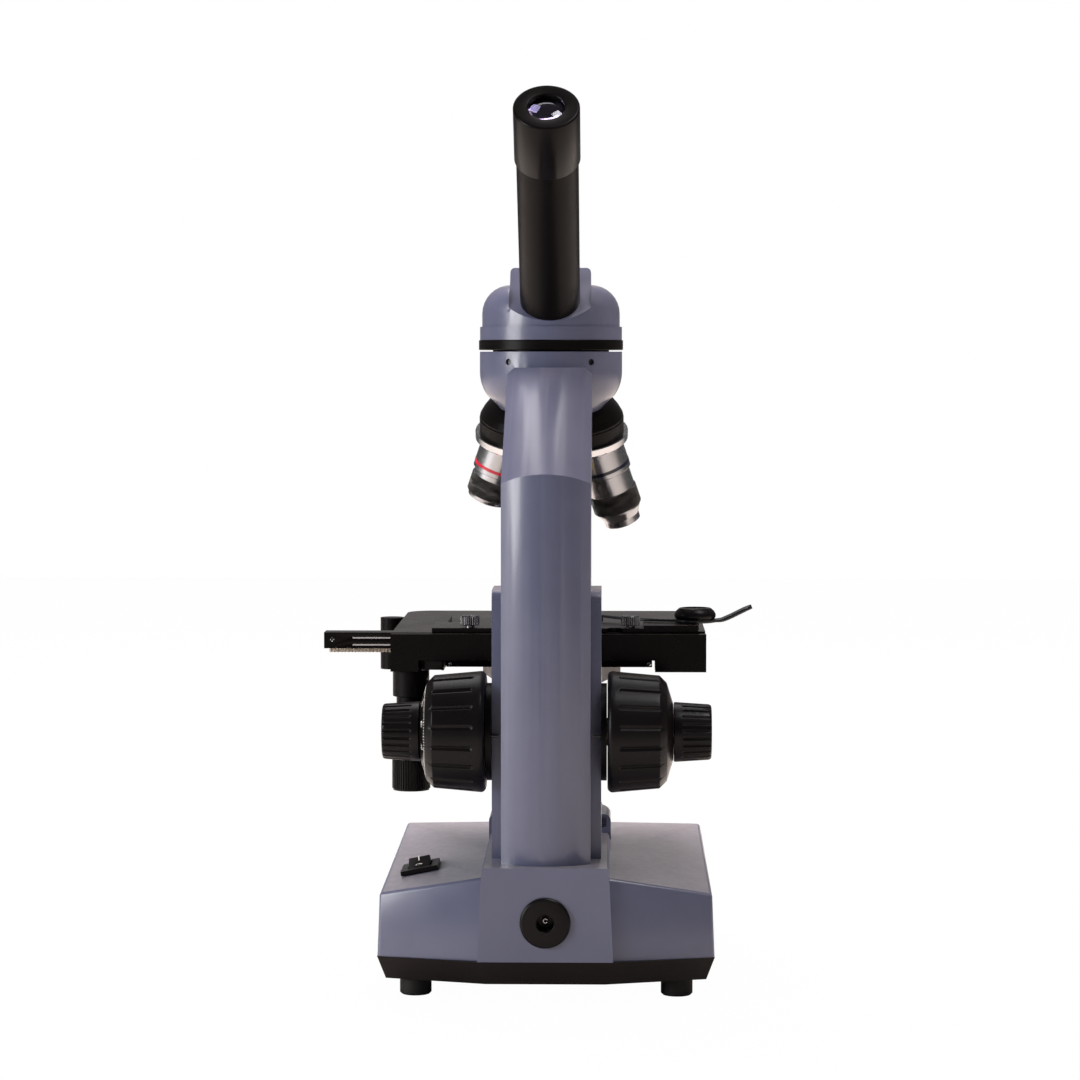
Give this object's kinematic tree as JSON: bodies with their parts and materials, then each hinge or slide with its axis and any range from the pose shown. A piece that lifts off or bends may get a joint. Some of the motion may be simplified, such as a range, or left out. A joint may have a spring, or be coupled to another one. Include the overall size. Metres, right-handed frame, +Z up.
{
  "type": "monocular microscope",
  "caption": "Monocular compound microscope with an inclined tube, rotating nosepiece, mechanical stage, condenser, coaxial focus knobs and a lamp in its base.",
  "frame": {"origin": "the point of the table under the optical axis, on the plane of the feet", "axes": "+Z up, +X to the right and +Y away from the viewer who faces the arm's back, so the arm stands on the -Y side"},
  "size_m": [0.1897, 0.1988, 0.3885],
  "materials": {
    "base_shell": "satin",
    "base_tray": "satin",
    "feet": "matt",
    "foot_screws": "polished",
    "switch_frame": "satin",
    "switch_rocker": "satin",
    "dc_jack": "satin",
    "dc_jack_contacts": "polished",
    "lamp_board": "satin",
    "collector_lens": "polished",
    "lamp_ring": "satin",
    "arm": "satin",
    "focus_flanges": "satin",
    "arm_screws": "satin",
    "coarse_shaft": "polished",
    "coarse_knobs": "satin",
    "fine_shaft": "polished",
    "fine_knobs": "satin",
    "focus_slider": "satin",
    "stage_bracket": "satin",
    "stage_lower": "satin",
    "stage_upper": "satin",
    "x_bar": "satin",
    "x_rack": "satin",
    "slide_holder": "satin",
    "thumb_screws": "polished",
    "clip_finger": "satin",
    "clip_knob": "satin",
    "drive_housing": "satin",
    "y_drive": "satin",
    "x_drive": "satin",
    "stage_side_post": "satin",
    "condenser_carrier": "satin",
    "condenser_body": "satin",
    "condenser_lens": "polished",
    "iris_ring": "satin",
    "filter_holder": "satin",
    "filter_glass": "polished",
    "condenser_knob": "satin",
    "nosepiece_dome": "satin",
    "turret": "satin",
    "turret_ring": "polished",
    "objective_4_barrel": "satin",
    "objective_10_barrel": "satin",
    "objective_40_barrel": "satin",
    "objective_100_barrel": "satin",
    "objective_4_band": "gloss",
    "objective_10_band": "gloss",
    "objective_40_band": "gloss",
    "objective_100_band": "gloss",
    "objective_grips": "satin",
    "objective_lenses": "polished",
    "clamp_ring": "satin",
    "head_shell": "satin",
    "prism": "polished",
    "tube": "satin",
    "eyepiece": "satin",
    "eyepiece_lenses": "polished"
  },
  "bodies": {
    "frame": {"base_shell": "base_shell", "base_tray": "base_tray", "feet": "feet", "foot_screws": "foot_screws", "switch_frame": "switch_frame", "dc_jack": "dc_jack", "dc_jack_contacts": "dc_jack_contacts", "lamp_board": "lamp_board", "collector_lens": "collector_lens", "lamp_ring": "lamp_ring", "arm": "arm", "focus_flanges": "focus_flanges", "arm_screws": "arm_screws", "nosepiece_dome": "nosepiece_dome"},
    "rocker": {"switch_rocker": "switch_rocker"},
    "coarse": {"coarse_shaft": "coarse_shaft", "coarse_knobs": "coarse_knobs"},
    "fine": {"fine_shaft": "fine_shaft", "fine_knobs": "fine_knobs"},
    "slider": {"focus_slider": "focus_slider"},
    "carrier": {"stage_bracket": "stage_bracket", "stage_lower": "stage_lower"},
    "stage": {"stage_upper": "stage_upper", "drive_housing": "drive_housing", "stage_side_post": "stage_side_post"},
    "slide": {"x_bar": "x_bar", "x_rack": "x_rack", "slide_holder": "slide_holder", "thumb_screws": "thumb_screws"},
    "finger": {"clip_finger": "clip_finger", "clip_knob": "clip_knob"},
    "y_knob": {"y_drive": "y_drive"},
    "x_knob": {"x_drive": "x_drive"},
    "condenser": {"condenser_carrier": "condenser_carrier", "condenser_body": "condenser_body", "condenser_lens": "condenser_lens"},
    "iris": {"iris_ring": "iris_ring"},
    "filter": {"filter_holder": "filter_holder", "filter_glass": "filter_glass"},
    "condenser_spindle": {"condenser_knob": "condenser_knob"},
    "turret": {"turret": "turret", "turret_ring": "turret_ring", "objective_4_barrel": "objective_4_barrel", "objective_4_band": "objective_4_band", "objective_10_barrel": "objective_10_barrel", "objective_10_band": "objective_10_band", "objective_40_barrel": "objective_40_barrel", "objective_40_band": "objective_40_band", "objective_100_barrel": "objective_100_barrel", "objective_100_band": "objective_100_band", "objective_grips": "objective_grips", "objective_lenses": "objective_lenses"},
    "head": {"clamp_ring": "clamp_ring", "head_shell": "head_shell", "prism": "prism", "tube": "tube"},
    "eyepiece": {"eyepiece": "eyepiece", "eyepiece_lenses": "eyepiece_lenses"}
  },
  "joints": [
    {"name": "rocker_tilt", "type": "hinge", "parent": "frame", "child": "rocker", "pos_m": [-0.05538, -0.075, 0.04816], "axis": [0.981, 0, 0.1942], "range_deg": [-36, 0]},
    {"name": "coarse_slide", "type": "slide", "parent": "frame", "child": "slider", "axis": [0, 0, 1], "range_m": [-0.002, 0.027]},
    {"name": "coarse_turn", "type": "hinge", "parent": "frame", "child": "coarse", "pos_m": [0, -0.09, 0.1112], "axis": [1, 0, 0], "range_deg": [-20, 225]},
    {"name": "fine_turn", "type": "hinge", "parent": "frame", "child": "fine", "pos_m": [0, -0.09, 0.1112], "axis": [1, 0, 0], "range_deg": [-1801, 1801]},
    {"name": "fine_slide", "type": "slide", "parent": "slider", "child": "carrier", "axis": [0, 0, 1], "range_m": [-0.001, 0.001]},
    {"name": "stage_y_slide", "type": "slide", "parent": "carrier", "child": "stage", "axis": [0, 1, 0], "range_m": [-0.003, 0.03]},
    {"name": "y_knob_turn", "type": "hinge", "parent": "stage", "child": "y_knob", "pos_m": [-0.061, -0.053, 0.11], "axis": [0, 0, 1], "range_deg": [-275, 30]},
    {"name": "stage_x_slide", "type": "slide", "parent": "stage", "child": "slide", "axis": [1, 0, 0], "range_m": [-0.035, 0.028]},
    {"name": "x_knob_turn", "type": "hinge", "parent": "stage", "child": "x_knob", "pos_m": [-0.061, -0.053, 0.09], "axis": [0, 0, 1], "range_deg": [-460, 575]},
    {"name": "clip_swing", "type": "hinge", "parent": "slide", "child": "finger", "pos_m": [0.065, -0.043, 0.156], "axis": [0, 0, 1], "range_deg": [-25, 0], "stiffness_Nm_per_rad": 0.05, "springref_deg": 5.73},
    {"name": "condenser_slide", "type": "slide", "parent": "carrier", "child": "condenser", "axis": [0, 0, 1], "range_m": [-0.015, 0]},
    {"name": "condenser_turn", "type": "hinge", "parent": "carrier", "child": "condenser_spindle", "pos_m": [-0.036, -0.054, 0.107], "axis": [1, 0, 0], "range_deg": [-220, 3]},
    {"name": "iris_swing", "type": "hinge", "parent": "condenser", "child": "iris", "pos_m": [0, 0, 0.094], "axis": [0, 0, 1], "range_deg": [-40, 40]},
    {"name": "filter_swing", "type": "hinge", "parent": "condenser", "child": "filter", "pos_m": [0.01662, 0.01662, 0.089], "axis": [0, 0, 1], "range_deg": [0, 90]},
    {"name": "nosepiece_turn", "type": "hinge", "parent": "frame", "child": "turret", "pos_m": [0, 0, 0.293], "axis": [0, 0.309, -0.9511], "continuous": true},
    {"name": "head_turn", "type": "hinge", "parent": "frame", "child": "head", "pos_m": [0, 0, 0.28], "axis": [0, 0, 1], "continuous": true},
    {"name": "eyepiece_pull", "type": "slide", "parent": "head", "child": "eyepiece", "axis": [0, -0.7071, 0.7071], "range_m": [0, 0.03]}
  ],
  "couplings": [
    {"joint": "coarse_turn", "follows": "coarse_slide", "rad_per_m": 142.86},
    {"joint": "fine_turn", "follows": "fine_slide", "rad_per_m": 31416},
    {"joint": "y_knob_turn", "follows": "stage_y_slide", "rad_per_m": -158.73},
    {"joint": "x_knob_turn", "follows": "stage_x_slide", "rad_per_m": -285.71},
    {"joint": "condenser_turn", "follows": "condenser_slide", "rad_per_m": 250}
  ]
}
